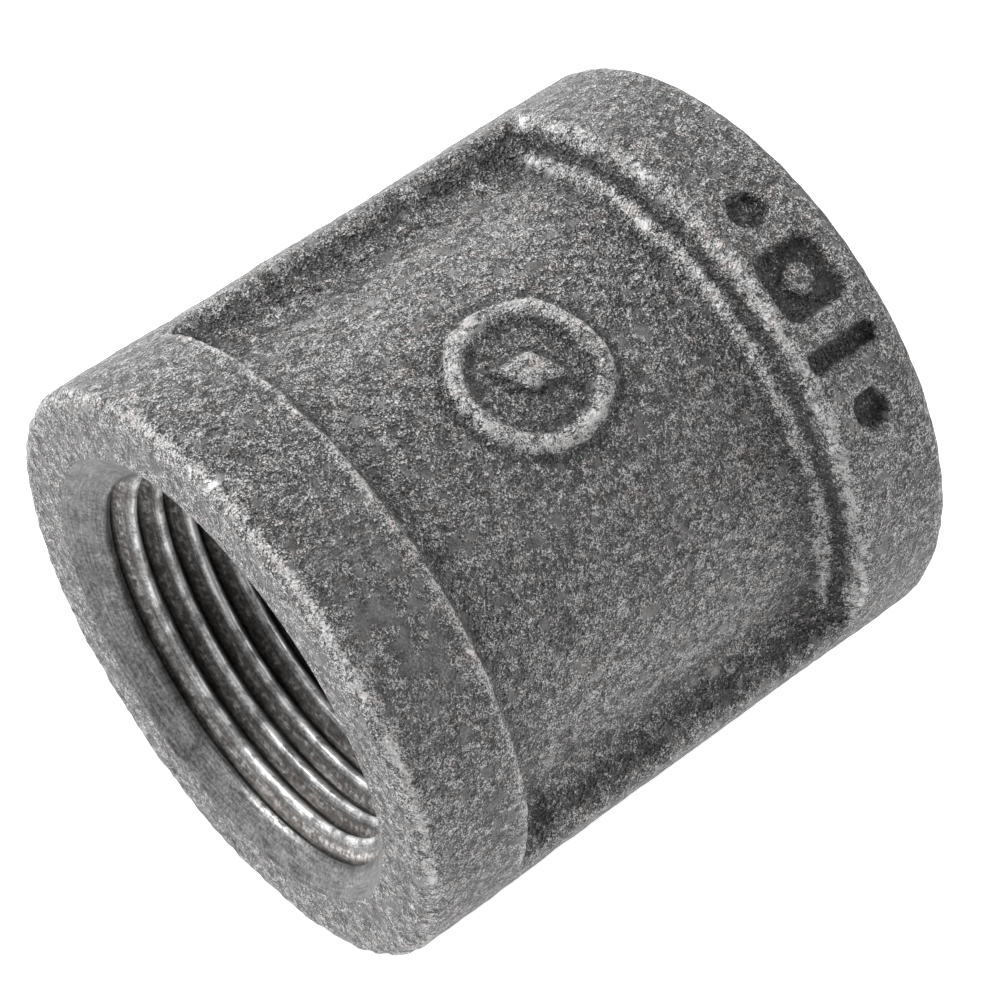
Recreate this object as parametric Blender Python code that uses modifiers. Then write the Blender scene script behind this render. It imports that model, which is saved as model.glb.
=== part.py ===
"""Threaded pipe coupling, nominal 3/4 inch, cast in one piece from malleable iron.

The coupling lies on its side. Its bore runs along X, its two end bands rest on Z = 0,
and its middle is over the origin. All sizes are in metres.
"""

import math

import bmesh
import bpy
from mathutils import Matrix, Vector

# Outside of the casting
LENGTH = 0.0386
BAND_RADIUS = 0.0185
BARREL_RADIUS = 0.0157
FRONT_BAND_WIDTH = 0.0070
BACK_BAND_WIDTH = 0.0075
END_CORNER_RADIUS = 0.0011
SHOULDER_CORNER_RADIUS = 0.0004
FOOT_FILLET = 0.0007

# Two ribs on the mould's parting line, on opposite sides of the barrel
RIB_RADIUS = 0.0184
RIB_WIDTH = 0.0105
RIB_TILT = math.radians(30.4)
RIB_EMBED = 0.0012
RIB_EDGE_RADIUS = 0.0005

# Tapered pipe thread, 14 turns to the inch, cut from both ends
PITCH = 0.0254 / 14
THREAD_TAPER = 1 / 32
CREST_RADIUS = 0.01200
ROOT_RADIUS = 0.01328
THREADED_BORE = 0.0152
FLANK_ANGLE = math.radians(30)
FIRST_ROOT_AT_TOP = 0.00105
THREAD_TURNS = 9
CUTTER_OVERLAP = 0.0001
CUTTER_LEAD_IN = 2 * PITCH - FIRST_ROOT_AT_TOP
RUN_OUT_LENGTH = 0.0018
LAND_RADIUS = 0.01115

# Countersink at each mouth
MOUTH_RADIUS = 0.01445
MOUTH_DEPTH = 0.0024

# Raised ring with a plain lozenge in it, on the barrel
RING_OUTER = 0.0047
RING_INNER = 0.0035
RING_HEIGHT = 0.00045
RING_X = 0.0192 - LENGTH / 2
RING_TILT = math.radians(13.5)
LOZENGE_LENGTH = 0.0042
LOZENGE_WIDTH = 0.0024
LOZENGE_TURN = math.radians(35)

# Plain recessed marks on the back band
MARK_DEPTH = 0.00045
MARK_X = 0.0346 - LENGTH / 2
DIMPLE_RADIUS = 0.0011
DIMPLE_TILTS = (math.radians(13.5), math.radians(54.5))
SQUARE_SIDE = 0.0040
SQUARE_CORNER = 0.0009
SQUARE_TILT = math.radians(28.5)
BUTTON_RADIUS = 0.0009
BAR_LENGTH = 0.0046
BAR_WIDTH = 0.0014
BAR_TILT = math.radians(42.5)

# Mesh fineness
TURN_SEGMENTS = 64
HELIX_SEGMENTS = 28
ARC_STEPS = 3
MERGE = 1e-5

AXIS_HEIGHT = BAND_RADIUS


def clear_scene():
    """Remove everything that a new Blender file comes with."""
    for thing in list(bpy.data.objects):
        bpy.data.objects.remove(thing, do_unlink=True)


def new_collection(name):
    """Make a collection in the scene."""
    collection = bpy.data.collections.new(name)
    bpy.context.scene.collection.children.link(collection)
    return collection


def iron_material():
    """Black cast iron, as it leaves the foundry: dark, rough and dull."""
    material = bpy.data.materials.new("malleable_iron")
    material.use_nodes = True
    shader = material.node_tree.nodes["Principled BSDF"]
    shader.inputs["Base Color"].default_value = (0.10, 0.10, 0.105, 1.0)
    shader.inputs["Metallic"].default_value = 0.6
    shader.inputs["Roughness"].default_value = 0.6
    return material


def object_from_bmesh(mesh_data, name, collection):
    """Turn a bmesh into an object in a collection."""
    bmesh.ops.recalc_face_normals(mesh_data, faces=mesh_data.faces[:])
    mesh = bpy.data.meshes.new(name)
    mesh_data.to_mesh(mesh)
    mesh_data.free()
    obj = bpy.data.objects.new(name, mesh)
    collection.objects.link(obj)
    return obj


def as_cutter(obj):
    """Show a cutting shape as wire and keep it out of renders."""
    obj.display_type = "WIRE"
    obj.hide_render = True
    return obj


def arc(centre, radius, start, end, steps):
    """Points on an arc in the (x, r) plane, from one angle to another, in degrees."""
    points = []
    for step in range(steps + 1):
        angle = math.radians(start + (end - start) * step / steps)
        x = centre[0] + radius * math.cos(angle)
        r = centre[1] + radius * math.sin(angle)
        points.append((x, r))
    return points


def band_and_shoulder(width):
    """Outer outline of one end band, from its face at x = 0 to the foot of its shoulder."""
    corner = END_CORNER_RADIUS
    edge = SHOULDER_CORNER_RADIUS
    points = arc((corner, BAND_RADIUS - corner), corner, 180, 90, ARC_STEPS)
    points += arc((width - edge, BAND_RADIUS - edge), edge, 90, 0, 2)
    points.append((width, BARREL_RADIUS + FOOT_FILLET))
    points.append((width + FOOT_FILLET, BARREL_RADIUS))
    return points


def bore_half():
    """Inner outline from the edge of the mouth at x = 0 to the plain land in the middle."""
    mouth_end = CREST_RADIUS - MOUTH_DEPTH * THREAD_TAPER
    thread_end = CREST_RADIUS - THREADED_BORE * THREAD_TAPER
    return [
        (0.0, MOUTH_RADIUS),
        (MOUTH_DEPTH, mouth_end),
        (THREADED_BORE, thread_end),
        (THREADED_BORE + 0.0003, LAND_RADIUS),
    ]


def flipped(points):
    """The same outline read from the other end of the coupling."""
    return [(LENGTH - x, r) for x, r in reversed(points)]


def casting_outline():
    """Closed outline of the wall of the casting, as (x, r) from the front face."""
    outer = band_and_shoulder(FRONT_BAND_WIDTH) + flipped(band_and_shoulder(BACK_BAND_WIDTH))
    inner = bore_half() + flipped(bore_half())
    return outer + list(reversed(inner))


def turned_body(collection):
    """Turn the wall outline once round the bore."""
    outline = bmesh.new()
    verts = []
    for x, r in casting_outline():
        # The outline is drawn for a turn about Z: r along +X, and x down the axis.
        verts.append(outline.verts.new((r, 0.0, LENGTH / 2 - x)))
    for index, vert in enumerate(verts):
        outline.edges.new((vert, verts[(index + 1) % len(verts)]))
    mesh = bpy.data.meshes.new("coupling_body")
    outline.to_mesh(mesh)
    outline.free()
    body = bpy.data.objects.new("coupling_body", mesh)
    collection.objects.link(body)
    turn = body.modifiers.new("turn", "SCREW")
    turn.axis = "Z"
    turn.steps = TURN_SEGMENTS
    turn.render_steps = TURN_SEGMENTS
    turn.use_merge_vertices = True
    turn.merge_threshold = MERGE
    bake(body)
    # Lay the axis along X, with the front face at -X, and lift it to its height.
    lay_down = Matrix.Translation((0.0, 0.0, AXIS_HEIGHT)) @ Matrix.Rotation(-math.pi / 2, 4, "Y")
    body.data.transform(lay_down)
    outward_normals(body)
    return body


def bake(obj):
    """Replace an object's mesh by what its modifiers make of it."""
    graph = bpy.context.evaluated_depsgraph_get()
    graph.update()
    baked = bpy.data.meshes.new_from_object(obj.evaluated_get(graph))
    old = obj.data
    name = old.name
    obj.modifiers.clear()
    obj.data = baked
    bpy.data.meshes.remove(old)
    baked.name = name


def outward_normals(obj):
    """Make every face of a closed mesh face outwards."""
    shape = bmesh.new()
    shape.from_mesh(obj.data)
    bmesh.ops.recalc_face_normals(shape, faces=shape.faces[:])
    shape.to_mesh(obj.data)
    shape.free()


def combine(body, tool, operation):
    """Join a tool to the body, or cut it away."""
    step = body.modifiers.new(operation.lower(), "BOOLEAN")
    step.operation = operation
    step.solver = "EXACT"
    step.object = tool
    bake(body)


def to_barrel_side(tilt, x):
    """Placement whose +Z points straight out of the bore axis, tilted from upright to -Y."""
    at_axis = Matrix.Translation((x, 0.0, AXIS_HEIGHT))
    return at_axis @ Matrix.Rotation(tilt, 4, "X")


def prism(points, low, high, name, collection, placement):
    """Solid with a flat outline in local XY, between two heights along local Z."""
    shape = bmesh.new()
    bottom = [shape.verts.new((x, y, low)) for x, y in points]
    face = shape.faces.new(bottom)
    lifted = bmesh.ops.extrude_face_region(shape, geom=[face])
    raised = [part for part in lifted["geom"] if isinstance(part, bmesh.types.BMVert)]
    bmesh.ops.translate(shape, verts=raised, vec=Vector((0.0, 0.0, high - low)))
    bmesh.ops.transform(shape, matrix=placement, verts=shape.verts[:])
    return as_cutter(object_from_bmesh(shape, name, collection))


def circle_points(radius, count):
    """Corners of a regular outline."""
    corners = []
    for index in range(count):
        angle = 2 * math.pi * index / count
        corners.append((radius * math.cos(angle), radius * math.sin(angle)))
    return corners


def rounded_rectangle(length, width, corner, steps):
    """Outline of a rectangle in local XY with rounded corners."""
    points = []
    for sign_x, sign_y, start in ((1, 1, 0), (-1, 1, 90), (-1, -1, 180), (1, -1, 270)):
        centre = (sign_x * (length / 2 - corner), sign_y * (width / 2 - corner))
        points += arc(centre, corner, start, start + 90, steps)
    return points


def shell_tool(radius, name, collection):
    """Solid drum about the bore axis, used to trim raised shapes to one height."""
    shape = bmesh.new()
    bmesh.ops.create_cone(
        shape,
        cap_ends=True,
        segments=TURN_SEGMENTS * 2,
        radius1=radius,
        radius2=radius,
        depth=LENGTH * 0.7,
    )
    along_x = Matrix.Translation((0.0, 0.0, AXIS_HEIGHT)) @ Matrix.Rotation(math.pi / 2, 4, "Y")
    bmesh.ops.transform(shape, matrix=along_x, verts=shape.verts[:])
    return as_cutter(object_from_bmesh(shape, name, collection))


def rib_tool(side, collection):
    """One rib from band to band, its top following the round of the coupling."""
    tilt = RIB_TILT + side * math.pi / 2
    low = BARREL_RADIUS - RIB_EMBED
    half = RIB_WIDTH / 2
    top_edge = math.sqrt(RIB_RADIUS**2 - half**2)
    across = [(-half, low), (half, low), (half, top_edge - RIB_EDGE_RADIUS)]
    edge_angle = math.asin(half / RIB_RADIUS)
    for step in range(7):
        angle = edge_angle * 0.9 * (1 - step / 3)
        across.append((RIB_RADIUS * math.sin(angle), RIB_RADIUS * math.cos(angle)))
    across.append((-half, top_edge - RIB_EDGE_RADIUS))
    shape = bmesh.new()
    start = FRONT_BAND_WIDTH - 0.002 - LENGTH / 2
    end = LENGTH / 2 - BACK_BAND_WIDTH + 0.002
    first = [shape.verts.new((start, y, z)) for y, z in across]
    face = shape.faces.new(first)
    lifted = bmesh.ops.extrude_face_region(shape, geom=[face])
    moved = [part for part in lifted["geom"] if isinstance(part, bmesh.types.BMVert)]
    bmesh.ops.translate(shape, verts=moved, vec=Vector((end - start, 0.0, 0.0)))
    bmesh.ops.transform(shape, matrix=to_barrel_side(tilt, 0.0), verts=shape.verts[:])
    name = "rib_upper" if side < 0 else "rib_lower"
    return as_cutter(object_from_bmesh(shape, name, collection))


def add_ribs(body, collection):
    """Join both ribs to the barrel."""
    for side in (-1, 1):
        combine(body, rib_tool(side, collection), "UNION")


def add_ring(body, collection):
    """Join the raised ring and its lozenge to the barrel."""
    placement = to_barrel_side(RING_TILT, RING_X)
    low = BARREL_RADIUS - 0.0015
    high = BARREL_RADIUS + 0.0015
    ring = prism(circle_points(RING_OUTER, 32), low, high, "ring", collection, placement)
    hole = prism(circle_points(RING_INNER, 32), low - 0.001, high + 0.001, "ring_hole",
                 collection, placement)
    combine(ring, hole, "DIFFERENCE")
    half_length = LOZENGE_LENGTH / 2
    half_width = LOZENGE_WIDTH / 2
    corners = [(half_length, 0.0), (0.0, half_width), (-half_length, 0.0), (0.0, -half_width)]
    turned = placement @ Matrix.Rotation(LOZENGE_TURN, 4, "Z")
    lozenge = prism(corners, low, high, "lozenge", collection, turned)
    for raised in (ring, lozenge):
        drum = shell_tool(BARREL_RADIUS + RING_HEIGHT, "height_of_" + raised.name, collection)
        combine(raised, drum, "INTERSECT")
        combine(body, raised, "UNION")


def cut_marks(body, collection):
    """Sink the plain marks into the back band."""
    low = BAND_RADIUS - MARK_DEPTH
    high = BAND_RADIUS + 0.001
    for number, tilt in enumerate(DIMPLE_TILTS):
        place = to_barrel_side(tilt, MARK_X)
        name = "dimple_%d" % (number + 1)
        dimple = prism(circle_points(DIMPLE_RADIUS, 16), low, high, name, collection, place)
        combine(body, dimple, "DIFFERENCE")
    place = to_barrel_side(SQUARE_TILT, MARK_X)
    outline = rounded_rectangle(SQUARE_SIDE, SQUARE_SIDE, SQUARE_CORNER, 3)
    square = prism(outline, low, high, "square", collection, place)
    button = prism(circle_points(BUTTON_RADIUS, 14), low - 0.001, high + 0.001, "button",
                   collection, place)
    combine(square, button, "DIFFERENCE")
    combine(body, square, "DIFFERENCE")
    place = to_barrel_side(BAR_TILT, MARK_X)
    outline = rounded_rectangle(BAR_LENGTH, BAR_WIDTH, BAR_WIDTH * 0.45, 3)
    bar = prism(outline, low, high, "bar", collection, place)
    combine(body, bar, "DIFFERENCE")


def thread_cutter(name, collection):
    """V-shaped tool wound round the bore, tapered, and lifting out at its inner end.

    It is wound about Z, with the mouth of the bore at z = 0 and the bore going down to -Z.
    """
    base = CREST_RADIUS - CUTTER_OVERLAP
    root_flat = PITCH / 16
    half_base = root_flat + (ROOT_RADIUS - base) * math.tan(FLANK_ANGLE)
    section = [
        (base, half_base),
        (ROOT_RADIUS, root_flat),
        (ROOT_RADIUS, -root_flat),
        (base, -half_base),
    ]
    profile = bmesh.new()
    corners = [profile.verts.new((r, 0.0, CUTTER_LEAD_IN + z)) for r, z in section]
    for index, corner in enumerate(corners):
        profile.edges.new((corner, corners[(index + 1) % len(corners)]))
    mesh = bpy.data.meshes.new(name)
    profile.to_mesh(mesh)
    profile.free()
    tool = bpy.data.objects.new(name, mesh)
    collection.objects.link(tool)
    winding = tool.modifiers.new("winding", "SCREW")
    winding.axis = "Z"
    winding.screw_offset = -PITCH
    winding.angle = -2 * math.pi
    winding.iterations = THREAD_TURNS
    winding.steps = HELIX_SEGMENTS
    winding.render_steps = HELIX_SEGMENTS
    winding.use_merge_vertices = False
    bake(tool)
    shape = bmesh.new()
    shape.from_mesh(tool.data)
    rims = [edge for edge in shape.edges if edge.is_boundary]
    bmesh.ops.holes_fill(shape, edges=rims, sides=4)
    end_depth = THREAD_TURNS * PITCH - CUTTER_LEAD_IN
    for vert in shape.verts:
        depth = -vert.co.z
        radius = math.hypot(vert.co.x, vert.co.y)
        lifted = max(0.0, depth - (end_depth - RUN_OUT_LENGTH)) / RUN_OUT_LENGTH
        new_radius = radius - depth * THREAD_TAPER - lifted * (ROOT_RADIUS - LAND_RADIUS)
        vert.co.x *= new_radius / radius
        vert.co.y *= new_radius / radius
    bmesh.ops.recalc_face_normals(shape, faces=shape.faces[:])
    shape.to_mesh(tool.data)
    shape.free()
    return as_cutter(tool)


def cut_threads(body, collection):
    """Cut a right-hand tapered thread into each end of the bore."""
    front = thread_cutter("front_thread", collection)
    # The mouth at the front face looks to -X, so the tool's -Z turns to +X.
    lay = Matrix.Translation((-LENGTH / 2, 0.0, AXIS_HEIGHT)) @ Matrix.Rotation(-math.pi / 2, 4, "Y")
    front.data.transform(lay)
    back = thread_cutter("back_thread", collection)
    back.data.transform(Matrix.Rotation(math.pi, 4, "Z") @ lay)
    for tool in (front, back):
        combine(body, tool, "DIFFERENCE")


def shade_round(body):
    """Shade the round faces smooth and keep the real edges sharp."""
    body.data.shade_smooth()
    shape = bmesh.new()
    shape.from_mesh(body.data)
    for edge in shape.edges:
        if len(edge.link_faces) == 2:
            edge.smooth = edge.calc_face_angle(0.0) < math.radians(28)
    shape.to_mesh(body.data)
    shape.free()


def tidy_mesh(body):
    """Weld the tiny gaps and slivers that cutting leaves."""
    shape = bmesh.new()
    shape.from_mesh(body.data)
    bmesh.ops.remove_doubles(shape, verts=shape.verts[:], dist=MERGE)
    bmesh.ops.dissolve_degenerate(shape, edges=shape.edges[:], dist=MERGE)
    shape.to_mesh(body.data)
    shape.free()


def main():
    clear_scene()
    parts = new_collection("pipe_coupling")
    cutters = new_collection("cutters")
    body = turned_body(parts)
    add_ribs(body, cutters)
    add_ring(body, cutters)
    cut_marks(body, cutters)
    cut_threads(body, cutters)
    tidy_mesh(body)
    shade_round(body)
    body.data.materials.clear()
    body.data.materials.append(iron_material())


main()
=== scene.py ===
"""Looks of a threaded pipe coupling in black malleable iron, lying on its side.

The casting is one piece, so it is one closed mesh: a grid of rows along the wall's outline and
columns round the bore, shaped by its bands, ribs, ring, sunk marks, threads and the grain of the
sand mould. Mesh code works in millimetres, with x from the front face and angles from straight up
towards the viewer's side; the last step puts it in the frame, in metres.
"""

import math

import bmesh
import bpy
import numpy as np
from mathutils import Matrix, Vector, noise


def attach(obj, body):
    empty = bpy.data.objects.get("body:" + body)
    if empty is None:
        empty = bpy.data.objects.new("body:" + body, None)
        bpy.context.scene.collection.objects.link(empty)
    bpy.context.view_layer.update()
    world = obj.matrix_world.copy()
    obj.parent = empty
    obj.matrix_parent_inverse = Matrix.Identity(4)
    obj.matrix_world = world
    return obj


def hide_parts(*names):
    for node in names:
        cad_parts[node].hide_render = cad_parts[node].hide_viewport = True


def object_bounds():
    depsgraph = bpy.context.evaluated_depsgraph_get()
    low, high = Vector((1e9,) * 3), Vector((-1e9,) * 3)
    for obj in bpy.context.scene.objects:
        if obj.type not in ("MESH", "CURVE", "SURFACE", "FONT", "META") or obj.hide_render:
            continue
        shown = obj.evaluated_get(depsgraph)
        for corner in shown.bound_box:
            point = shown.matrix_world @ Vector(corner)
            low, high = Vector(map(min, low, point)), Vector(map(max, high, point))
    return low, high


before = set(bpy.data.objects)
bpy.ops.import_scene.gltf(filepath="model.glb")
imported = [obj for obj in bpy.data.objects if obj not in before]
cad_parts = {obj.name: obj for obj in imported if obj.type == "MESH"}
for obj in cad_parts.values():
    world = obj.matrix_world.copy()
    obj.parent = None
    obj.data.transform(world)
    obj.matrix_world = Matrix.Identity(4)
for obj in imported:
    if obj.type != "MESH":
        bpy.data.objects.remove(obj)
cad_low, cad_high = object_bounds()

MM = 0.001

# Driving sizes, from the frame
LENGTH = (cad_high.x - cad_low.x) / MM
BAND_RADIUS = (cad_high.z - cad_low.z) / 2 / MM
AXIS_Z = (cad_high.z + cad_low.z) / 2 / MM
FRONT_X = cad_low.x / MM

# Outside of the casting
BARREL_RADIUS = 0.849 * BAND_RADIUS
FRONT_BAND = 7.0
BACK_BAND = 7.5
CORNER = 1.1
MOUTH_RADIUS = 14.45
BAND_FLAT_END = 1.9
BLEND_END = 3.2

# Ribs on the mould's parting line
RIB_RADIUS = 0.997 * BAND_RADIUS
RIB_HALF = 5.0
RIB_TILT = 30.4
RIB_WALL = (
    (-0.9, -0.5, -0.15, 0.15, 0.45, 0.75, 1.05, 1.45, 1.9, 2.5, 3.1),
    (1.0, 0.985, 0.93, 0.82, 0.62, 0.42, 0.28, 0.16, 0.075, 0.02, 0.0),
)

# Thread, 14 turns to the inch, tapering 1 in 16 on diameter
PITCH = 25.4 / 14
TAPER = 1 / 32
ROOT_RADIUS = 13.28
CREST_RADIUS = 12.08
FIRST_ROOT = 1.05
THREAD_FADE = (11.6, 14.0)
THREAD_END = 15.2
LAND_RADIUS = 11.15
MOUTH_SLOPE = 1.17
THREAD_STEPS = (-0.06, 0.06, 0.17, 0.3, 0.42, 0.5, 0.58, 0.78)

# Raised ring and its plain lozenge
RING_X = 19.45
RING_TILT = 13.9
RING_OUTER = 4.75
RING_INNER = 3.6
RING_HEIGHT = 0.5
RING_EDGE = 0.26
RING_RAGGED = 0.14
RING_FLAT = 0.1
RING_FLAT_SIDE = -12.0
RING_FLAT_SPREAD = 42.0
LOZENGE = (2.1, 1.2)
LOZENGE_TURN = 35

# Plain marks sunk in the back band, placed by their angle round it
MARK_X = 34.6
MARK_DEPTH = 0.55
MARK_EDGE = 0.13
DIMPLE_ANGLES = (13.5, 54.5)
DIMPLE_RADIUS = 1.1
SQUARE_ANGLE = 28.5
SQUARE_HALF = 2.1
SQUARE_CORNER = 0.9
BUTTON_RADIUS = 0.9
BAR_ANGLE = 42.5
BAR_HALF = (2.3, 0.7)
BAR_CORNER = 0.6

# Relief of the sand-cast skin: (depth, size) of each kind of unevenness, in millimetres
SWELL = (0.04, 7.0)
LUMPS = (0.045, 1.5)
GRAIN = (0.05, 0.75)
CHIP_SIZE = 1.1
CHIP_RISE = 0.03
CHIP_DEPTH = 0.13
RIB_RAGGED = ((0.3, 1.4), (0.16, 0.6))
LAND_WAVES = ((0.06, 2.5), (0.05, 0.9))

# The finish: where things are along the coupling, and how far noise moves the rubbed edges
BARREL_FROM = (9.5, 10.5)
BARREL_TO = (28.0, 29.0)
BURNISH_FROM = (1.2, 2.0)
BURNISH_TO = (5.4, 6.2)
EDGE_WANDER = ((0.2, 0.9), (0.15, 2.2))
# Painted side light: the barrel is lightened as it turns away from this angle, the side facing the
# camera
SIDE_LIGHT_CENTRE = 32.0
SIDE_LIGHT_GAP = (18.0, 55.0)
CONVEX_UNIT = 0.1

# Casting skin: sizes in millimetres, and how strongly each thing shifts the tone
WARP_SCALE = 2.2
WARP_REACH = 0.35
PIT_SIZE = 0.21
GRAIN_SIZE = 0.065
SPECK_SIZE = 0.5
# Strength of the painted highlight along the pits' edges
RIM_HIGHLIGHT_GAIN = 0.46
GRAIN_GAIN = 1.15
PIT_GAIN = 0.22
MID_GAIN = 1.5
PATCH_GAIN = 0.3
SMOOTHING = 0.8
WORN_GAIN = 0.9
# Strength of the painted side light
SIDE_LIGHT_GAIN = 0.11
# How much kept black scale and painted shade darken the skin
SCALE_AND_SHADE_GAIN = 0.36
SKIN_TONE = 0.425
SKIN_GREYS = ((0.2, 0.026), (0.4, 0.068), (0.6, 0.14), (0.8, 0.28))
WARM_TINT = (1.12, 0.97, 0.93, 1.0)
# Share of bright grey in the painted glints
PAINTED_GLINT = 0.55

# Cut iron of the threads and countersinks
IRON_TONE = 0.455
# How dark the painted shade in the thread's roots is
ROOT_SHADE_GAIN = 0.6
CONE_GAIN = 0.06
IRON_GREYS = ((0.2, 0.05), (0.4, 0.12), (0.6, 0.22), (0.8, 0.42))
RUST = (0.30, 0.22, 0.17, 1.0)

# Camera in millimetres, aimed at a point of the frame, and the light round the coupling
CAMERA_AZIMUTH = math.radians(-40.33)
CAMERA_ELEVATION = math.radians(52.39)
CAMERA_DISTANCE = 205.8
CAMERA_LENS = 128.6
AIM = (0.856, -0.473, AXIS_Z + 0.17)
TENT_SIDE = 0.8
TENT_TOP = 0.4
# Half the light table's side in metres, and how much it glows
TABLE_HALF = 1.2
TABLE_GLOW = 0.75
# Name, azimuth, elevation, distance in metres, size in metres, power in watts
SOFTBOXES = (
    ("left_softbox", -148.0, 42.0, 0.5, 0.25, 3.1),
    ("right_softbox", 72.0, 25.0, 0.6, 0.3, 1.1),
)

# Mesh fineness
COLUMNS = 352
FACE_ROWS = 9
CORNER_ROWS = 9
FRONT_BAND_ROWS = 11
BACK_BAND_ROWS = 22
SHOULDER_ROWS = 34
BARREL_ROWS = 66
LAND_ROWS = 12
# In metres: points this near are one point, and edges this short are removed
MERGE = 2e-6
SLIVER = 1e-6


def smooth_step(low, high, value):
    """0 below low, 1 above high, and smooth in between."""
    share = np.clip((value - low) / (high - low), 0.0, 1.0)
    return share * share * (3.0 - 2.0 * share)


def hump(centre, half_width, value):
    """1 at the centre, falling smoothly to 0 at half_width on either side."""
    return 1.0 - smooth_step(0.0, half_width, np.abs(value - centre))


def angle_gap(angle, centre):
    """Signed difference of two angles in degrees, from -180 to 180."""
    return (angle - centre + 180.0) % 360.0 - 180.0


def resample(points, count, skip_first=False):
    """Even points along a polyline."""
    points = np.array(points, float)
    steps = np.hypot(*np.diff(points, axis=0).T)
    travelled = np.concatenate([[0.0], np.cumsum(steps)])
    places = np.linspace(0.0, travelled[-1], count + (1 if skip_first else 0))
    if skip_first:
        places = places[1:]
    return np.stack([np.interp(places, travelled, points[:, k]) for k in (0, 1)], 1)


def rounded(points, passes=3):
    """A polyline with its corners cut smaller and smaller, its ends kept."""
    points = np.array(points, float)
    for _ in range(passes):
        first = points[:-1] * 0.75 + points[1:] * 0.25
        second = points[:-1] * 0.25 + points[1:] * 0.75
        cut = np.empty((2 * len(first), 2))
        cut[0::2] = first
        cut[1::2] = second
        points = np.vstack([points[:1], cut, points[-1:]])
    return points


def end_outline(width, lip):
    """Rows of one end, from the mouth's edge to the barrel: over the barrel, and over a rib."""
    flat_end = width - BAND_FLAT_END
    blend_end = width + BLEND_END
    foot = BARREL_RADIUS
    face = resample([(0.0, MOUTH_RADIUS), (0.0, BAND_RADIUS - CORNER)], FACE_ROWS)
    turn = np.radians(np.linspace(180.0, 90.0, CORNER_ROWS + 1)[1:])
    corner = np.stack(
        [CORNER + CORNER * np.cos(turn), BAND_RADIUS - CORNER + CORNER * np.sin(turn)], 1
    )
    rows = BACK_BAND_ROWS if lip else FRONT_BAND_ROWS
    band = resample([(CORNER, BAND_RADIUS), (flat_end, BAND_RADIUS)], rows, True)
    # The front band stops at a sharp edge; the back one slopes down to a low lip.
    steep = [
        (flat_end, BAND_RADIUS),
        (width - 0.35, BAND_RADIUS - 0.02),
        (width - 0.08, BAND_RADIUS - 0.1),
        (width + 0.05, BAND_RADIUS - 0.5),
        (width + 0.2, foot + 1.2),
        (width + 0.34, foot + 0.85),
        (width + 0.5, foot + 0.74),
        (width + 0.85, foot + 0.55),
        (width + 1.2, foot + 0.1),
        (width + 1.7, foot),
        (blend_end, foot),
    ]
    sloped = [
        (flat_end, BAND_RADIUS),
        (width - 1.3, BAND_RADIUS - 0.02),
        (width - 0.95, BAND_RADIUS - 0.1),
        (width - 0.65, BAND_RADIUS - 0.4),
        (width - 0.4, BAND_RADIUS - 1.0),
        (width - 0.2, foot + 1.2),
        (width - 0.05, foot + 0.84),
        (width + 0.15, foot + 0.76),
        (width + 0.45, foot + 0.5),
        (width + 0.75, foot + 0.08),
        (width + 1.2, foot),
        (blend_end, foot),
    ]
    over_rib = [
        (flat_end, BAND_RADIUS),
        (width, (BAND_RADIUS + RIB_RADIUS) / 2),
        (blend_end, RIB_RADIUS),
    ]
    start = np.vstack([face, corner, band])
    shoulder = rounded(sloped if lip else steep)
    barrel = np.vstack([start, resample(shoulder, SHOULDER_ROWS, True)])
    rib = np.vstack([start, resample(rounded(over_rib), SHOULDER_ROWS, True)])
    return barrel, rib


def outer_outline():
    """Rows of the whole outside, from the front mouth to the back mouth, in both outlines."""
    front = end_outline(FRONT_BAND, False)
    back = end_outline(BACK_BAND, True)
    outlines = []
    for near, far, radius in zip(front, back, (BARREL_RADIUS, RIB_RADIUS)):
        far = np.stack([LENGTH - far[:, 0], far[:, 1]], 1)[::-1]
        fine = np.linspace(near[-1, 0], far[0, 0], 2001)
        off_ring = smooth_step(RING_OUTER, RING_OUTER + 1.0, np.abs(fine - RING_X))
        weight = 1.0 + 1.3 * (1.0 - off_ring)
        total = np.concatenate([[0.0], np.cumsum((weight[1:] + weight[:-1]) / 2)])
        rows = np.interp(np.linspace(0.0, total[-1], BARREL_ROWS + 1)[1:-1], total, fine)
        middle = np.stack([rows, np.full_like(rows, radius)], 1)
        outlines.append(np.vstack([near, middle, far]))
    return outlines


def column_angles():
    """Angles of the columns in degrees, closer together at the ribs' sides and the marks."""
    fine = np.linspace(0.0, 360.0, 7201)
    weight = np.ones_like(fine)
    for centre in (RIB_TILT - 90.0, RIB_TILT + 90.0):
        gap = np.abs(angle_gap(fine, centre))
        side = math.degrees((RIB_HALF + 0.5) / RIB_RADIUS)
        weight += 1.6 * np.exp(-(((gap - side) / 4.0) ** 2))
    weight += 0.35 * hump(27.0, 45.0, angle_gap(fine, 0.0))
    total = np.concatenate([[0.0], np.cumsum((weight[1:] + weight[:-1]) / 2)])
    places = np.linspace(0.0, total[-1], COLUMNS + 1)[:-1]
    return np.interp(places, total, fine)


def between(value, start, end):
    """1 between two places, each given as the range over which it fades."""
    return smooth_step(*start, value) * (1.0 - smooth_step(*end, value))


def noise_at(points, size, seed):
    """Smooth noise from about -1 to 1, with features of one size in millimetres."""
    shift = Vector((17.3 * seed, -9.1 * seed, 5.7 * seed))
    flat = (points.reshape(-1, 3) / size).tolist()
    values = [noise.noise(Vector(place) + shift) for place in flat]
    return np.array(values).reshape(points.shape[:-1])


def noises_at(points, kinds, first_seed):
    """Sum of noises given as (depth, size), with one seed after another."""
    return sum(
        depth * noise_at(points, size, seed)
        for seed, (depth, size) in enumerate(kinds, first_seed)
    )


def to_space(x, radius, angle):
    """Points in the frame, in millimetres."""
    x, radius, turn = np.broadcast_arrays(x, radius, np.radians(angle))
    return np.stack(
        [FRONT_X + x, -radius * np.sin(turn), AXIS_Z + radius * np.cos(turn)], -1
    )


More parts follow.
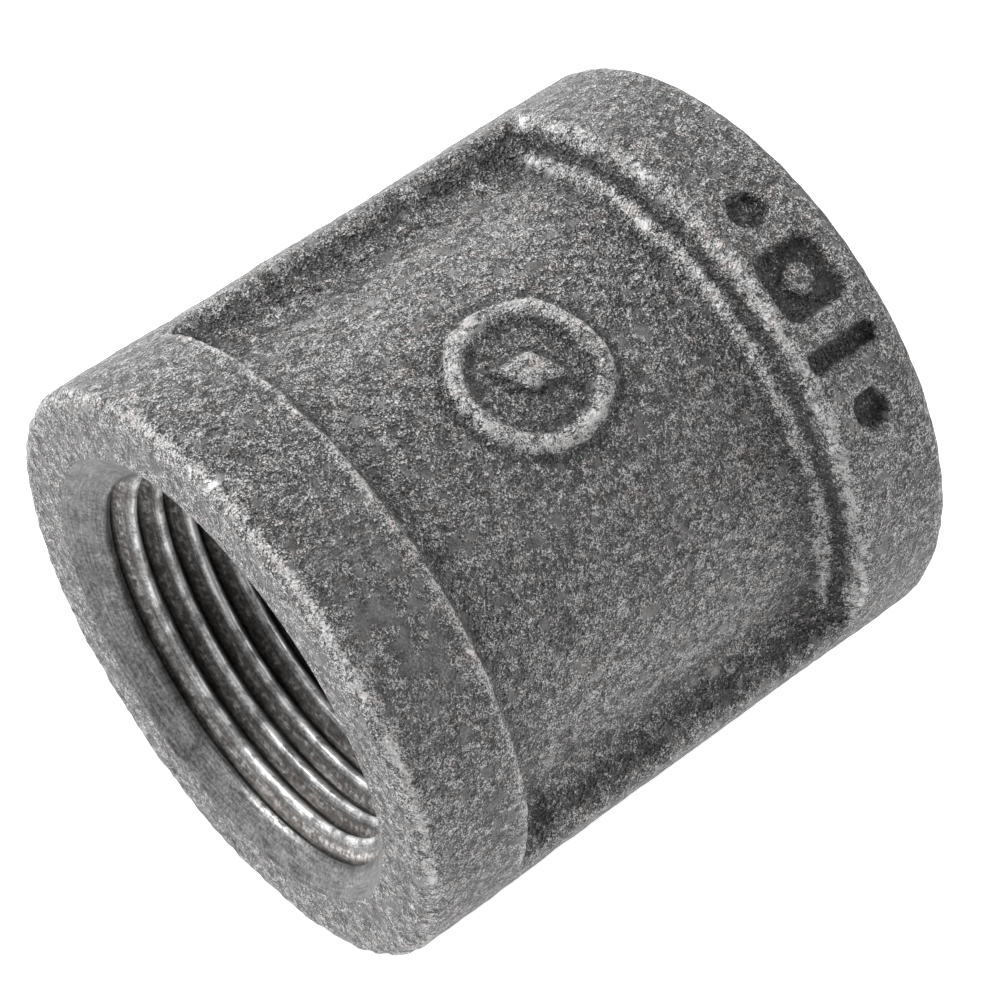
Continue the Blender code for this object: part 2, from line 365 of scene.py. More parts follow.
def grid_normals(points):
    """Outward normals of a grid whose columns go all the way round."""
    along = np.gradient(points, axis=0)
    round_ = np.roll(points, -1, axis=1) - np.roll(points, 1, axis=1)
    normal = np.cross(along, round_)
    size = np.linalg.norm(normal, axis=-1, keepdims=True)
    return -normal / np.maximum(size, 1e-9)


def ring_distance(x, angle):
    """Distance from the middle of the ring, more on the side where the ring is flattened."""
    across = np.radians(angle_gap(angle, RING_TILT)) * BARREL_RADIUS
    along = x - RING_X
    side = np.degrees(np.arctan2(across, along))
    flattened = hump(RING_FLAT_SIDE, RING_FLAT_SPREAD, side)
    return np.hypot(along, across) * (1.0 + RING_FLAT * flattened)


def ring_height(x, angle, wobble):
    """Height of the raised ring and the lozenge above the barrel."""
    across = np.radians(angle_gap(angle, RING_TILT)) * BARREL_RADIUS
    along = x - RING_X
    out = ring_distance(x, angle) + wobble
    ring = smooth_step(RING_INNER - RING_EDGE, RING_INNER + RING_EDGE, out)
    ring *= 1.0 - smooth_step(RING_OUTER - RING_EDGE, RING_OUTER + RING_EDGE, out)
    turn = math.radians(LOZENGE_TURN)
    first = np.abs(along * math.cos(turn) + across * math.sin(turn)) / LOZENGE[0]
    second = np.abs(across * math.cos(turn) - along * math.sin(turn)) / LOZENGE[1]
    lozenge = 1.0 - smooth_step(0.85, 1.15, first + second)
    return np.maximum(ring, lozenge)


def rounded_box(along, across, half_along, half_across, corner):
    """Distance outside a rounded rectangle, in millimetres and negative inside it."""
    over_x = np.maximum(np.abs(along) - half_along + corner, 0.0)
    over_y = np.maximum(np.abs(across) - half_across + corner, 0.0)
    inside = np.minimum(
        np.maximum(np.abs(along) - half_along, np.abs(across) - half_across), 0.0
    )
    return np.hypot(over_x, over_y) - corner + np.where(inside < -corner, inside + corner, 0.0)


def mark_depth(x, angle):
    """Share of full depth of the plain marks sunk in the back band."""
    along = x - MARK_X

    def across(centre):
        return np.radians(angle_gap(angle, centre)) * BAND_RADIUS

    def inside(away):
        return 1.0 - smooth_step(-MARK_EDGE, MARK_EDGE, away)

    dimples = [inside(np.hypot(along, across(at)) - DIMPLE_RADIUS) for at in DIMPLE_ANGLES]
    beside = across(SQUARE_ANGLE)
    square = inside(rounded_box(along, beside, SQUARE_HALF, SQUARE_HALF, SQUARE_CORNER))
    square *= 1.0 - inside(np.hypot(along, beside) - BUTTON_RADIUS)
    bar = inside(rounded_box(along, across(BAR_ANGLE), *BAR_HALF, BAR_CORNER))
    return np.maximum.reduce([*dimples, square, bar])


def rib_share(angle, start):
    """Where the ribs are: 1 on top of a rib, 0 on the barrel, with a rough wall in between."""
    ragged = noises_at(start, RIB_RAGGED, 1)
    share = np.zeros(angle.shape)
    for centre in (RIB_TILT - 90.0, RIB_TILT + 90.0):
        gap = np.radians(np.abs(angle_gap(angle, centre))) * (RIB_RADIUS - 0.8)
        away = gap - RIB_HALF + ragged
        top = np.interp(away, RIB_WALL[0], RIB_WALL[1])
        share = np.maximum(share, top)
    return share


def convexity(points):
    """How much each point stands out from its near neighbours, in millimetres."""
    normal = grid_normals(points)
    total = np.zeros(points.shape[:2])
    for reach in (1, 2):
        up = np.roll(points, reach, axis=0)
        down = np.roll(points, -reach, axis=0)
        up[:reach] = points[:reach]
        down[-reach:] = points[-reach:]
        left = np.roll(points, reach, axis=1)
        right = np.roll(points, -reach, axis=1)
        for middle in ((up + down) / 2, (left + right) / 2):
            total += ((points - middle) * normal).sum(-1)
    return total


def relief(points, x, share, wall, ring):
    """Unevenness of the outside in millimetres: swells, lumps, grain and chipped edges."""
    back_edge = LENGTH - BACK_BAND
    rough = 1.0 + 1.6 * wall + 0.8 * ring
    edges = 1.2 * hump(0.45, 0.8, x)
    for place, spread in ((FRONT_BAND - 0.1, 0.7), (back_edge + 0.8, 0.8), (back_edge - 0.3, 0.7)):
        edges = edges + hump(place, spread, x) * (1 - share)
    swell = SWELL[0] * noise_at(points, SWELL[1], 3)
    lump = LUMPS[0] * noise_at(points, LUMPS[1], 4) * rough
    grain = GRAIN[0] * noise_at(points, GRAIN[1], 5) * (rough + 1.6 * edges)
    chipped = smooth_step(0.1, 0.6, noise_at(points, CHIP_SIZE, 8))
    chips = (CHIP_RISE - CHIP_DEPTH * chipped) * edges
    return swell + lump + grain + chips


def rubbed_edges(points, x, angle, share, on_rim, ring, lozenge, out):
    """Where the skin is rubbed bright: band edges, the front corner, and the ring's top."""
    back_edge = LENGTH - BACK_BAND
    wander = noises_at(points, EDGE_WANDER, 9)
    amount = 0.75 + 0.6 * noise_at(points, 2.6, 11)
    edge_x = x + wander
    toward_top = 0.3 + 0.7 * hump(30.0, 90.0, angle_gap(angle, 0.0))
    far_lip = hump(back_edge - 0.3, 0.6, edge_x) * (1 - smooth_step(0.05, 0.4, share))
    far_edge = hump(back_edge + 0.75, 0.55, edge_x) * (1 - smooth_step(0.1, 0.7, share))
    near_edge = hump(FRONT_BAND - 0.25, 0.5, edge_x) * (1 - smooth_step(0.3, 0.8, share))
    corner = hump(0.42, 0.46, edge_x) * on_rim * toward_top
    crest = smooth_step(RING_INNER - 0.1, RING_INNER + 0.45, out + 0.6 * wander)
    patchy = np.clip(0.62 + 0.9 * noise_at(points, 0.9, 13), 0.2, 1.0)
    return np.maximum.reduce(
        [
            far_lip * amount,
            far_edge * amount,
            near_edge * 0.6 * amount,
            corner * (0.4 + amount),
            (ring * crest + 0.6 * lozenge) * patchy,
        ]
    )


def scale_and_painted_shade(x, angle, share, on_rim, wall, mark, lozenge, out):
    """Where the skin is darkened: kept black scale with painted shade in the back band's groove
    and on the ribs' walls, and painted shade by the front band's foot, in the marks, in and round
    the ring and along the far end's back corner.
    """
    # Groove by the back band: kept black scale and painted shade; foot of the front band: painted
    # shade
    groove = hump(LENGTH - BACK_BAND + 0.2, 0.42, x) * (1 - share)
    foot = hump(FRONT_BAND + 0.6, 0.9, x) * (1 - share)
    # Painted shade inside the ring, deepest by its inner wall
    inside = (1 - smooth_step(RING_INNER - 0.4, RING_INNER, out)) * (1 - lozenge)
    inside = inside * (0.6 + 0.6 * smooth_step(RING_INNER - 1.2, RING_INNER - 0.3, out))
    # Painted shadow round the ring's foot
    shadow_beside_ring = hump(RING_OUTER + 0.35, 0.5, out)
    # Painted shade on the far end's back corner, strongest near the top
    far_rim_shade = smooth_step(LENGTH - 0.75, LENGTH - 0.45, x) * on_rim
    far_rim_shade = far_rim_shade * (0.35 + 0.65 * hump(20.0, 60.0, angle_gap(angle, 0.0)))
    return np.maximum.reduce(
        [groove, 0.5 * foot, 0.8 * wall, mark, 0.4 * inside, 0.4 * shadow_beside_ring, 1.3 * far_rim_shade]
    )


def outer_surface(angles):
    """Grid of points over the outside, and what the finish needs to know at each of them."""
    barrel, rib = outer_outline()
    angle = np.broadcast_to(angles, (len(barrel), len(angles)))
    start = to_space(barrel[:, :1], barrel[:, 1:], angle)
    share = rib_share(angle, start)
    x = barrel[:, :1] * (1 - share) + rib[:, :1] * share
    radius = barrel[:, 1:] * (1 - share) + rib[:, 1:] * share
    on_barrel = between(x, BARREL_FROM, BARREL_TO)
    ring = ring_height(x, angle, RING_RAGGED * noise_at(start, 1.0, 12)) * on_barrel
    mark = mark_depth(x, angle)
    radius = radius + RING_HEIGHT * ring - MARK_DEPTH * mark
    points = to_space(x, radius, angle)
    beside = smooth_step(0.4, 1.5, np.linalg.norm(rib - barrel, axis=1)[:, None])
    uneven = relief(points, x, share, hump(0.45, 0.5, share) * beside, ring)
    fade = smooth_step(0.0, 1.2, np.arange(len(barrel)))
    fade = np.minimum(fade, fade[::-1])[:, None]
    moved = points + grid_normals(points) * (uneven * fade)[..., None]

    on_rim = smooth_step(-0.5, 1.0, radius - BAND_RADIUS + 1.0)
    out = ring_distance(x, angle)
    lozenge = ring * (1 - smooth_step(RING_INNER - 0.6, RING_INNER - 0.4, out))
    # The rib walls, darkened by kept black scale and painted shade
    dark_wall = hump(0.55, 0.35, share) * beside
    on_top = hump(38.0, 32.0, angle_gap(angle, 0.0))
    # Painted side light: lighter the further the barrel turns from the side facing the camera
    side_light_share = smooth_step(*SIDE_LIGHT_GAP, np.abs(angle_gap(angle, SIDE_LIGHT_CENTRE)))
    facts = {
        "worn": rubbed_edges(points, x, angle, share, on_rim, ring, lozenge, out),
        # Kept black scale and painted shade
        "scale_and_shade": scale_and_painted_shade(x, angle, share, on_rim, dark_wall, mark, lozenge, out),
        "side_light": side_light_share * on_barrel * (1 - share),
        "stands": convexity(moved) / CONVEX_UNIT,
        "burnish": between(x, BURNISH_FROM, BURNISH_TO) * on_top,
    }
    return moved, facts


def thread_cut(x, phase):
    """Radius of the cut bore at a depth x, phase being turns from the middle of a root.

    Also says, for the finish, where it is crest, root, the torn strip beside a root, the
    countersink, and the burr along the countersink's inner edge.
    """
    away = np.abs((phase + 0.5) % 1.0 - 0.5)
    after = (phase + 0.5) % 1.0 - 0.5
    lift = np.interp(away, (0.0, 0.055, 0.42, 0.5), (0.0, 0.02, 0.95, 1.0))
    fade = 1.0 - smooth_step(THREAD_FADE[0], THREAD_FADE[1], x)
    crest = CREST_RADIUS - TAPER * x
    root = crest + (ROOT_RADIUS - CREST_RADIUS) * fade
    cut = root + (crest - root) * lift
    step = smooth_step(THREAD_END - 0.5, THREAD_END, x)
    cut = cut * (1 - step) + LAND_RADIUS * step
    cone = MOUTH_RADIUS - MOUTH_SLOPE * x
    in_thread = smooth_step(0.0, 0.1, cut - cone) * (1 - step)
    facts = {
        "crest": smooth_step(0.36, 0.46, away) * in_thread * fade,
        "root": (1 - smooth_step(0.03, 0.1, away)) * in_thread * fade,
        "torn": hump(0.15, 0.11, after) * in_thread * fade,
        "cone": smooth_step(-0.05, 0.02, cone - cut),
        "burr": hump(0.0, 0.13, cone - cut),
    }
    return np.maximum(cut, cone), facts


def bore_end(turn):
    """Rows of one threaded end, following the thread's winding, from the mouth inwards."""
    first = math.floor(-FIRST_ROOT / PITCH) - 1
    last = math.ceil((THREAD_END - FIRST_ROOT) / PITCH) + 1
    rows = []
    for number in range(first, last):
        for step in THREAD_STEPS:
            rows.append(FIRST_ROOT + PITCH * (number + step + turn))
    x = np.clip(np.array(rows), 0.0, THREAD_END)
    phase = (x - FIRST_ROOT) / PITCH - turn
    radius, facts = thread_cut(x, phase)
    return x, radius, facts


def bore_surface(angles):
    """Grid of points over the bore, from the back mouth to the front mouth.

    Also gives, for each row, the row it runs into after one turn: a thread's rows are one
    pitch further on by then.
    """
    x, radius, front_facts = bore_end(angles / 360.0)
    front = to_space(x, radius, angles)
    # The back end is the front end turned half round upright, so its thread is right-handed too.
    x_back, radius_back, back_facts = bore_end(1.0 - angles / 360.0)
    back = to_space(LENGTH - x_back, radius_back, angles)
    middle_x = np.linspace(THREAD_END, LENGTH - THREAD_END, LAND_ROWS + 2)[1:-1]
    land = to_space(middle_x[:, None], LAND_RADIUS, angles)
    normal = grid_normals(land)
    wavy = noises_at(land, LAND_WAVES, 6)
    ease = smooth_step(0.0, 2.0, np.arange(len(middle_x)))
    ease = np.minimum(ease, ease[::-1])[:, None]
    land = land + normal * (wavy * ease)[..., None]
    points = np.concatenate([back, land[::-1], front[::-1]])
    plain = np.zeros(land.shape[:2])
    facts = {
        name: np.concatenate([back_facts[name], plain, front_facts[name][::-1]])
        for name in front_facts
    }
    pitch_rows = len(THREAD_STEPS)
    runs_into = [max(row - pitch_rows, 0) for row in range(len(back))]
    runs_into += range(len(back), len(back) + len(land))
    start = len(back) + len(land)
    runs_into += [start + max(row - pitch_rows, 0) for row in range(len(front))]
    return points, facts, runs_into


def ring_faces(first, second):
    """Faces between two neighbouring rows; each ends with the point that closes its turn."""
    faces = []
    for here in range(len(first) - 1):
        corners = (first[here], first[here + 1], second[here + 1], second[here])
        corners = tuple(dict.fromkeys(corners))
        if len(corners) > 2:
            faces.append(corners)
    return faces


def make_casting():
    """The whole coupling as one closed mesh."""
    angles = column_angles()
    outer, outer_facts = outer_surface(angles)
    inner, inner_facts, runs_into = bore_surface(angles[::2])
    # The bore's first and last rows are the mouths' own edges, so the outside goes without them.
    outer = outer[1:-1]
    outer_facts = {name: values[1:-1] for name, values in outer_facts.items()}
    shape = bmesh.new()
    names = list(outer_facts) + list(inner_facts)
    layers = {name: shape.verts.layers.float.new(name) for name in names}
    outer_verts = [[shape.verts.new(Vector(p) * MM) for p in row] for row in outer]
    inner_verts = [[shape.verts.new(Vector(p) * MM) for p in row] for row in inner]
    for grid, facts in ((outer_verts, outer_facts), (inner_verts, inner_facts)):
        for name, values in facts.items():
            layer = layers[name]
            for row, verts in zip(values, grid):
                for value, vert in zip(row, verts):
                    vert[layer] = float(value)
    outer_rings = [row + [row[0]] for row in outer_verts]
    inner_rings = [row + [inner_verts[ahead][0]] for row, ahead in zip(inner_verts, runs_into)]
    for first, second in zip(outer_rings[:-1], outer_rings[1:]):
        for corners in ring_faces(first, second):
            shape.faces.new(corners)
    for first, second in zip(inner_rings[:-1], inner_rings[1:]):
        for corners in ring_faces(first, second):
            shape.faces.new(corners).material_index = 1
    # The bore has half the columns, so at each mouth three triangles take two columns to one.
    for edge, row in ((outer_verts[-1], inner_verts[0]), (outer_verts[0], inner_verts[-1])):
        edge, row = edge + [edge[0]], row + [row[0]]
        for here in range(len(row) - 1):
            start, middle, end = edge[2 * here : 2 * here + 3]
            shape.faces.new((start, middle, row[here]))
            shape.faces.new((middle, row[here + 1], row[here]))
            shape.faces.new((middle, end, row[here + 1]))
    bmesh.ops.remove_doubles(shape, verts=shape.verts[:], dist=MERGE)
    bmesh.ops.dissolve_degenerate(shape, edges=shape.edges[:], dist=SLIVER)
    bmesh.ops.recalc_face_normals(shape, faces=shape.faces[:])
    for face in shape.faces:
        face.smooth = True
    mesh = bpy.data.meshes.new("coupling_casting")
    shape.to_mesh(mesh)
    shape.free()
    casting = bpy.data.objects.new("coupling_casting", mesh)
    bpy.context.scene.collection.objects.link(casting)
    return casting


class Nodes:
    """Short ways to add shader nodes to a material."""

    def __init__(self, name):
        self.material = bpy.data.materials.new(name)
        self.material.use_nodes = True
        self.tree = self.material.node_tree
        self.shader = self.tree.nodes["Principled BSDF"]

    def add(self, kind, settings=None, **inputs):
        """Add a node; inputs are given by name, with spaces as underscores."""
        node = self.tree.nodes.new(kind)
        for name, value in (settings or {}).items():
            setattr(node, name, value)
        for name, value in inputs.items():
            self.put(node.inputs[name.replace("_", " ")], value)
        return node

    def put(self, socket, value):
        """Link a socket to a socket, or set its value."""
        if isinstance(value, bpy.types.NodeSocket):
            self.tree.links.new(value, socket)
        else:
            socket.default_value = value

    def math(self, operation, first, second=0.0, clamp=False):
        """One arithmetic step."""
        node = self.add("ShaderNodeMath", {"operation": operation, "use_clamp": clamp})
        self.put(node.inputs[0], first)
        self.put(node.inputs[1], second)
        return node.outputs[0]

    def total(self, first, *others):
        """Sum of several values."""
        for other in others:
            first = self.math("ADD", first, other)
        return first

    def about(self, value, centre, gain):
        """A value's distance from its centre, scaled."""
        return self.math("MULTIPLY", self.math("SUBTRACT", value, centre), gain)

    def ramp(self, value, low, high, to_low=0.0, to_high=1.0):
        """Smoothly map a range of values to another."""
        node = self.add("ShaderNodeMapRange", {"interpolation_type": "SMOOTHSTEP"}, Value=value)
        node.inputs["From Min"].default_value = low
        node.inputs["From Max"].default_value = high
        node.inputs["To Min"].default_value = to_low
        node.inputs["To Max"].default_value = to_high
        return node.outputs["Result"]

    def mix(self, share, first, second):
        """Mix two colours."""
        node = self.add("ShaderNodeMix", {"data_type": "RGBA"})
        self.put(node.inputs["Factor"], share)
        self.put(node.inputs["A"], first)
        self.put(node.inputs["B"], second)
        return node.outputs["Result"]

    def noise(self, where, size, detail=2.0, roughness=0.5):
        """Noise with features of about one size in millimetres."""
        node = self.add("ShaderNodeTexNoise", Vector=where, Scale=1.0 / size)
        node.inputs["Detail"].default_value = detail
        node.inputs["Roughness"].default_value = roughness
        return node.outputs["Fac"]

    def cells(self, where, size, feature="F1"):
        """Voronoi cells of about one size in millimetres."""
        return self.add("ShaderNodeTexVoronoi", {"feature": feature}, Vector=where, Scale=1 / size)

    def channel(self, colour, name):
        """One channel of a colour, for a random value per cell."""
        return self.add("ShaderNodeSeparateColor", Color=colour).outputs[name]

    def tones(self, value, darkest, brightest, between):
        """Grey by a value from 0 to 1, through (place, grey) pairs in between."""
        node = self.add("ShaderNodeValToRGB", Fac=value)
        stops = node.color_ramp.elements
        stops[0].position, stops[0].color = 0.0, darkest
        stops[1].position, stops[1].color = 1.0, brightest
        for place, level in between:
            stop = stops.new(place)
            stop.color = grey(level)
        return node.outputs["Color"]

    def bump(self, height, distance):
        """Normals from a height, whose full swing is a distance in millimetres."""
        node = self.add("ShaderNodeBump", Height=height, Strength=1.0)
        node.inputs["Distance"].default_value = distance * MM
        return node.outputs["Normal"]

    def attribute(self, name):
        """A value kept at each point of the mesh."""
        node = self.add("ShaderNodeAttribute", {"attribute_name": name})
        return node.outputs["Fac"]

    def millimetres(self):
        """Place on the object, in millimetres."""
        where = self.add("ShaderNodeTexCoord").outputs["Object"]
        scaled = self.add("ShaderNodeVectorMath", {"operation": "SCALE"}, Vector=where)
        scaled.inputs["Scale"].default_value = 1.0 / MM
        return scaled.outputs["Vector"]


def grey(value, warm=0.0):
    """A grey in linear light, a little warm if wanted."""
    return (value * (1 + warm), value, value * (1 - warm), 1.0)


def cast_skin():
    """Black as-cast iron skin: grainy, dull, pitted, and bright where the edges are rubbed."""
    nodes = Nodes("cast_skin")
    where = nodes.millimetres()
    warp = nodes.add("ShaderNodeTexNoise", Vector=where, Scale=WARP_SCALE, Detail=2.0)
    warped = nodes.add("ShaderNodeVectorMath", {"operation": "MULTIPLY_ADD"})
    nodes.put(warped.inputs[0], warp.outputs["Color"])
    warped.inputs[1].default_value = (WARP_REACH, WARP_REACH, WARP_REACH)
    nodes.put(warped.inputs[2], where)
    warped = warped.outputs["Vector"]

    # Grain of the sand: tiny pits with broken edges lightened as a painted highlight of the
    # relief, and finer grains over them
    pits = nodes.cells(warped, PIT_SIZE)
    edges = nodes.cells(warped, PIT_SIZE, "DISTANCE_TO_EDGE")
    rim_highlight = nodes.ramp(edges.outputs["Distance"], 0.02, 0.13, 1.0, 0.0)
    rim_highlight = nodes.math("MULTIPLY", rim_highlight, nodes.ramp(nodes.noise(where, 0.35, 1.0), 0.42, 0.58))
    pit_tone = nodes.channel(pits.outputs["Color"], "Red")
    grains = nodes.cells(where, GRAIN_SIZE)
    grain_tone = nodes.channel(grains.outputs["Color"], "Green")
    mid = nodes.noise(warped, 0.55, 4.0, 0.62)
    patches = nodes.noise(where, 3.2, 2.0)

    # Smooth spots: a few anywhere, and more on top of the front band
    smooth = nodes.ramp(nodes.noise(where, 1.1, 2.0), 0.60, 0.66)
    rubbed = nodes.ramp(nodes.noise(where, 1.7, 2.0, 0.6), 0.47, 0.52)
    rubbed = nodes.math("MULTIPLY", rubbed, nodes.attribute("burnish"))
    smooth = nodes.math("MAXIMUM", smooth, rubbed)
    calm = nodes.math("SUBTRACT", 1.0, nodes.math("MULTIPLY", smooth, SMOOTHING))

    tone = nodes.total(
        nodes.about(rim_highlight, 0.2, RIM_HIGHLIGHT_GAIN),
        nodes.about(grain_tone, 0.5, GRAIN_GAIN),
        nodes.about(pit_tone, 0.5, PIT_GAIN),
        nodes.about(mid, 0.5, MID_GAIN),
    )
    tone = nodes.math("MULTIPLY", tone, calm)
    # Darker in the skin's dips and lighter where it stands out
    stands = nodes.ramp(nodes.attribute("stands"), -0.8, 0.8, -0.14, 0.10)
    tone = nodes.total(tone, nodes.about(patches, 0.5, PATCH_GAIN), stands)

    # Rubbed edges are bright and broken; hollows keep their black scale, with painted shade added,
    # and the barrel's sides get a painted side light
    broken = nodes.noise(warped, 0.5, 3.0, 0.65)
    broken = nodes.ramp(broken, 0.38, 0.54, 0.2, 1.0)
    worn = nodes.math("MULTIPLY", nodes.attribute("worn"), broken)
    worn = nodes.math("MULTIPLY", worn, WORN_GAIN)
    # Painted side light on the barrel's sides
    side_light = nodes.math("MULTIPLY", nodes.attribute("side_light"), SIDE_LIGHT_GAIN)
    # Darkening by kept black scale and painted shade
    scale_and_shade = nodes.math("MULTIPLY", nodes.attribute("scale_and_shade"), SCALE_AND_SHADE_GAIN)
    tone = nodes.math("SUBTRACT", nodes.total(tone, worn, side_light), scale_and_shade)
    tone = nodes.math("ADD", tone, SKIN_TONE, clamp=True)
    colour = nodes.tones(tone, grey(0.006), grey(0.58, 0.005), SKIN_GREYS)

    # Warm tints
    tint = nodes.ramp(nodes.noise(where, 1.2, 4.0, 0.65), 0.52, 0.68, 0.0, 0.6)
    warm = nodes.add("ShaderNodeMix", {"data_type": "RGBA", "blend_type": "MULTIPLY"})
    nodes.put(warm.inputs["Factor"], tint)
    nodes.put(warm.inputs["A"], colour)
    nodes.put(warm.inputs["B"], WARM_TINT)
    colour = warm.outputs["Result"]

    # Painted glints: single grains given a bright grey, standing in for light glinting off bright
    # facets
    specks = nodes.cells(where, SPECK_SIZE)
    near = nodes.ramp(specks.outputs["Distance"], 0.10, 0.17, 1.0, 0.0)
    chosen = nodes.channel(specks.outputs["Color"], "Red")
    painted_glint = nodes.math("MULTIPLY", near, nodes.ramp(chosen, 0.72, 0.80))
    painted_glint = nodes.math("MULTIPLY", painted_glint, calm)
    colour = nodes.mix(nodes.math("MULTIPLY", painted_glint, PAINTED_GLINT), colour, grey(0.55))

    pit_height = nodes.about(pits.outputs["Distance"], 0.4, 0.5)
    height = nodes.math("ADD", pit_height, nodes.about(mid, 0.5, 1.3))
    height = nodes.math("MULTIPLY", height, calm)
    nodes.put(nodes.shader.inputs["Base Color"], colour)
    nodes.put(nodes.shader.inputs["Normal"], nodes.bump(height, 0.5))
    nodes.shader.inputs["Metallic"].default_value = 0.0
    nodes.shader.inputs["Roughness"].default_value = 0.5
    nodes.shader.inputs["IOR"].default_value = 1.6
    return nodes.material


def round_the_bore(nodes, where):
    """Place given by length, distance from the bore's axis and angle round it."""
    parts = nodes.add("ShaderNodeSeparateXYZ", Vector=where).outputs
    high = nodes.math("SUBTRACT", parts["Z"], AXIS_Z)
    across = nodes.math("MULTIPLY", parts["Y"], parts["Y"])
    out = nodes.math("SQRT", nodes.math("ADD", across, nodes.math("MULTIPLY", high, high)))
    turn = nodes.math("ARCTAN2", parts["Y"], high)
    return nodes.add("ShaderNodeCombineXYZ", X=parts["X"], Y=out, Z=turn).outputs["Vector"]


def cut_iron():
    """Iron cut by a tap and a countersink: dull grey, streaked round the bore by the tools, with a
    painted highlight on the thread's crests and painted shade in its roots.
    """
    nodes = Nodes("cut_iron")
    where = nodes.millimetres()
    lathe = round_the_bore(nodes, where)
    streaks = nodes.add("ShaderNodeTexNoise", Vector=lathe, Scale=9.0, Detail=2.0, Roughness=0.6)
    streaks = streaks.outputs["Fac"]
    mottle = nodes.noise(where, 0.22, 3.0, 0.65)
    blotch = nodes.noise(where, 1.3, 2.0)
    torn = nodes.attribute("torn")

    def spots(mask, size, low, high, faint, strong):
        """A mask broken up into spots."""
        speckle = nodes.ramp(nodes.noise(where, size, 2.0), low, high, faint, strong)
        return nodes.math("MULTIPLY", mask, speckle)

    # Painted highlight along the thread's crests, broken into blotches
    crest = nodes.math(
        "MULTIPLY", nodes.attribute("crest"), nodes.ramp(blotch, 0.35, 0.6, 0.32, 0.65)
    )
    tone = nodes.total(
        nodes.about(mottle, 0.5, 0.9),
        nodes.about(streaks, 0.5, 0.6),
        nodes.about(blotch, 0.5, 0.5),
        IRON_TONE,
        crest,
        spots(torn, 0.45, 0.42, 0.6, 0.05, 0.55),
    )
    # Painted shade in the thread's roots
    root = nodes.math("MULTIPLY", nodes.attribute("root"), ROOT_SHADE_GAIN)
    cone = nodes.math("MULTIPLY", nodes.attribute("cone"), CONE_GAIN)
    tone = nodes.math("SUBTRACT", nodes.math("SUBTRACT", tone, root), cone)
    burr = spots(nodes.attribute("burr"), 0.3, 0.4, 0.6, 0.25, 0.7)
    tone = nodes.math("ADD", tone, burr, clamp=True)
    colour = nodes.tones(tone, grey(0.012), grey(0.75), IRON_GREYS)
    rusty = nodes.mix(0.5, colour, RUST)
    colour = nodes.mix(nodes.math("MULTIPLY", torn, 0.5), colour, rusty)

    height = nodes.math("ADD", nodes.about(streaks, 0.5, 0.6), nodes.about(mottle, 0.5, 0.5))
    nodes.put(nodes.shader.inputs["Base Color"], colour)
    nodes.put(nodes.shader.inputs["Normal"], nodes.bump(height, 0.05))
    nodes.shader.inputs["Metallic"].default_value = 0.6
    nodes.shader.inputs["Roughness"].default_value = 0.45
    return nodes.material


def make_floor(height):
    """A white light table under the coupling."""
    mesh = bpy.data.meshes.new("light_table")
    sides = ((-1, -1), (1, -1), (1, 1), (-1, 1))
    corners = [(x * TABLE_HALF, y * TABLE_HALF, height) for x, y in sides]
    mesh.from_pydata(corners, [], [(0, 1, 2, 3)])
    table = bpy.data.objects.new("light_table", mesh)
    bpy.context.scene.collection.objects.link(table)
    nodes = Nodes("table_white")
    nodes.shader.inputs["Base Color"].default_value = grey(0.8)
    nodes.shader.inputs["Roughness"].default_value = 0.9
    nodes.shader.inputs["Emission Color"].default_value = grey(1.0)
    nodes.shader.inputs["Emission Strength"].default_value = TABLE_GLOW
    mesh.materials.append(nodes.material)


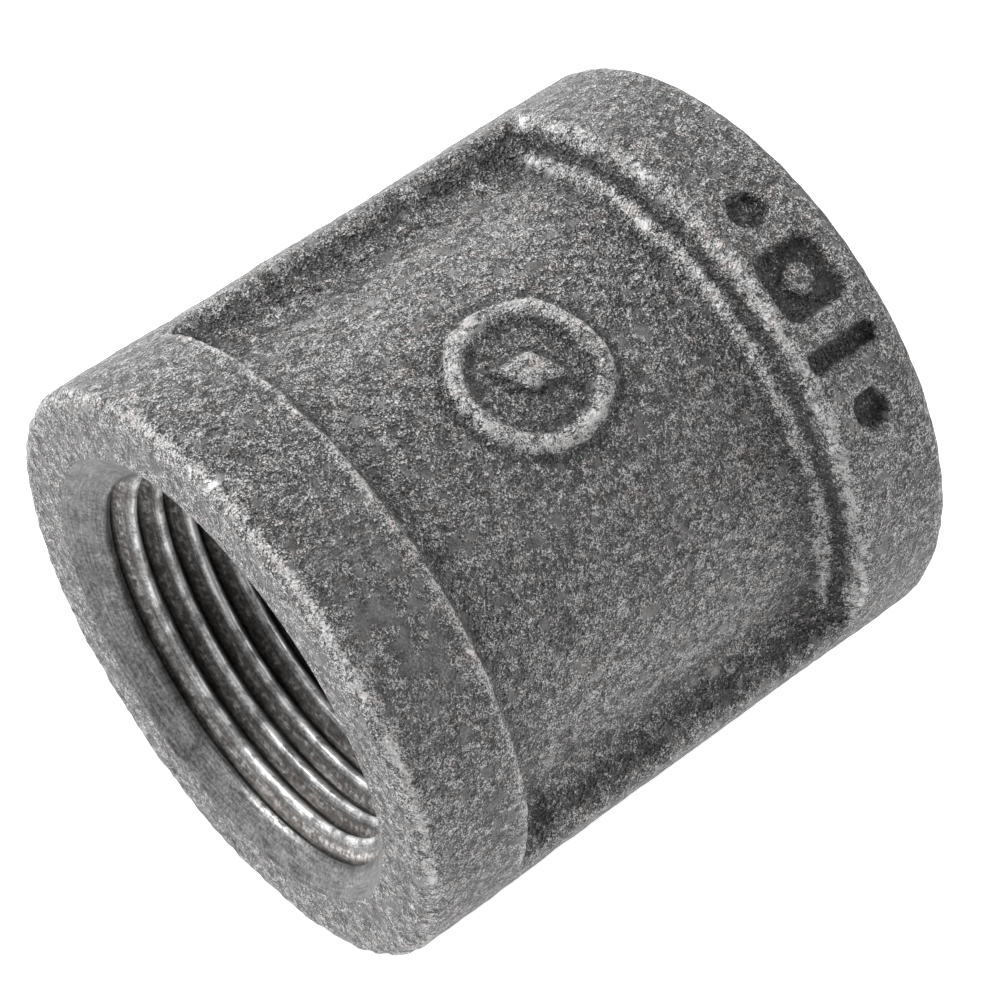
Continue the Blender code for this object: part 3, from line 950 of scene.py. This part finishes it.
def set_world():
    """White light from all round as in a light tent, weaker from where the camera stands."""
    world = bpy.data.worlds.new("light_tent")
    world.use_nodes = True
    tree = world.node_tree
    background = tree.nodes["Background"]
    background.inputs["Color"].default_value = grey(1.0)
    where = tree.nodes.new("ShaderNodeTexCoord")
    toward = tree.nodes.new("ShaderNodeVectorMath")
    toward.operation = "DOT_PRODUCT"
    toward.inputs[1].default_value = camera_back()
    tree.links.new(where.outputs["Generated"], toward.inputs[0])
    share = tree.nodes.new("ShaderNodeMapRange")
    share.interpolation_type = "SMOOTHSTEP"
    tree.links.new(toward.outputs["Value"], share.inputs["Value"])
    share.inputs["From Min"].default_value = 0.25
    share.inputs["From Max"].default_value = 1.0
    share.inputs["To Min"].default_value = TENT_SIDE
    share.inputs["To Max"].default_value = TENT_TOP
    tree.links.new(share.outputs["Result"], background.inputs["Strength"])
    bpy.context.scene.world = world


def softbox(name, azimuth, elevation, distance, size, power):
    """A square softbox aimed at the coupling."""
    light = bpy.data.lights.new(name, "AREA")
    light.shape = "RECTANGLE"
    light.size = light.size_y = size
    light.energy = power
    lamp = bpy.data.objects.new(name, light)
    side, up = math.radians(azimuth), math.radians(elevation)
    away = Vector((math.sin(side) * math.cos(up), -math.cos(side) * math.cos(up), math.sin(up)))
    lamp.location = away * distance + Vector((0, 0, AXIS_Z * MM))
    lamp.rotation_mode = "QUATERNION"
    lamp.rotation_quaternion = (-away).to_track_quat("-Z", "Y")
    bpy.context.scene.collection.objects.link(lamp)


def camera_back():
    """Direction from the coupling to the camera."""
    return Vector(
        (
            math.sin(CAMERA_AZIMUTH) * math.cos(CAMERA_ELEVATION),
            -math.cos(CAMERA_AZIMUTH) * math.cos(CAMERA_ELEVATION),
            math.sin(CAMERA_ELEVATION),
        )
    )


def make_camera():
    """Camera above the front left, looking down at the coupling."""
    back = camera_back()
    data = bpy.data.cameras.new("camera")
    data.lens = CAMERA_LENS
    data.sensor_width = 36.0
    camera = bpy.data.objects.new("camera", data)
    camera.location = (Vector(AIM) + back * CAMERA_DISTANCE) * MM
    camera.rotation_mode = "QUATERNION"
    camera.rotation_quaternion = (-back).to_track_quat("-Z", "Y")
    data.clip_start = 0.01
    data.clip_end = 10.0
    bpy.context.scene.collection.objects.link(camera)
    bpy.context.scene.camera = camera


casting = make_casting()
casting.data.materials.append(cast_skin())
casting.data.materials.append(cut_iron())
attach(casting, "root")
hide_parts("coupling_body")
make_floor(min(cad_low.z, min(v.co.z for v in casting.data.vertices)))
set_world()
for box in SOFTBOXES:
    softbox(*box)
make_camera()
bpy.context.scene.view_settings.view_transform = "Standard"
